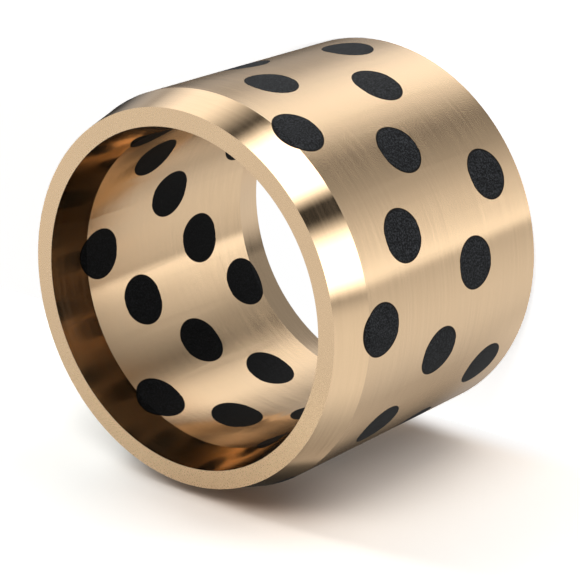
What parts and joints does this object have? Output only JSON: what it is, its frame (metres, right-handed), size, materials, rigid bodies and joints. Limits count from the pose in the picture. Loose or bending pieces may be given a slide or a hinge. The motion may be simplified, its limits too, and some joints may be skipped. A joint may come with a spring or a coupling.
{
  "type": "graphite plugged bushing",
  "caption": "Plain cylindrical bronze sleeve bearing with graphite plugs set flush through its wall in staggered rows, and a chamfered lead-in end.",
  "frame": {"origin": "centre of the plain end's face, on the bore's axis, where the bushing stands", "axes": "+Z along the bore's axis, from the plain end towards the chamfered lead-in end; +X through a plug of the first row"},
  "size_m": [0.05, 0.05, 0.04],
  "materials": {
    "bronze": "satin",
    "graphite": "matte"
  },
  "bodies": {
    "root": {"bronze_sleeve": "bronze", "graphite_plug_row1_1": "graphite", "graphite_plug_row1_2": "graphite", "graphite_plug_row1_3": "graphite", "graphite_plug_row1_4": "graphite", "graphite_plug_row1_5": "graphite", "graphite_plug_row1_6": "graphite", "graphite_plug_row2_1": "graphite", "graphite_plug_row2_2": "graphite", "graphite_plug_row2_3": "graphite", "graphite_plug_row2_4": "graphite", "graphite_plug_row2_5": "graphite", "graphite_plug_row2_6": "graphite", "graphite_plug_row3_1": "graphite", "graphite_plug_row3_2": "graphite", "graphite_plug_row3_3": "graphite", "graphite_plug_row3_4": "graphite", "graphite_plug_row3_5": "graphite", "graphite_plug_row3_6": "graphite", "graphite_plug_row4_1": "graphite", "graphite_plug_row4_2": "graphite", "graphite_plug_row4_3": "graphite", "graphite_plug_row4_4": "graphite", "graphite_plug_row4_5": "graphite", "graphite_plug_row4_6": "graphite", "graphite_plug_row5_1": "graphite", "graphite_plug_row5_2": "graphite", "graphite_plug_row5_3": "graphite", "graphite_plug_row5_4": "graphite", "graphite_plug_row5_5": "graphite", "graphite_plug_row5_6": "graphite"}
  },
  "joints": []
}
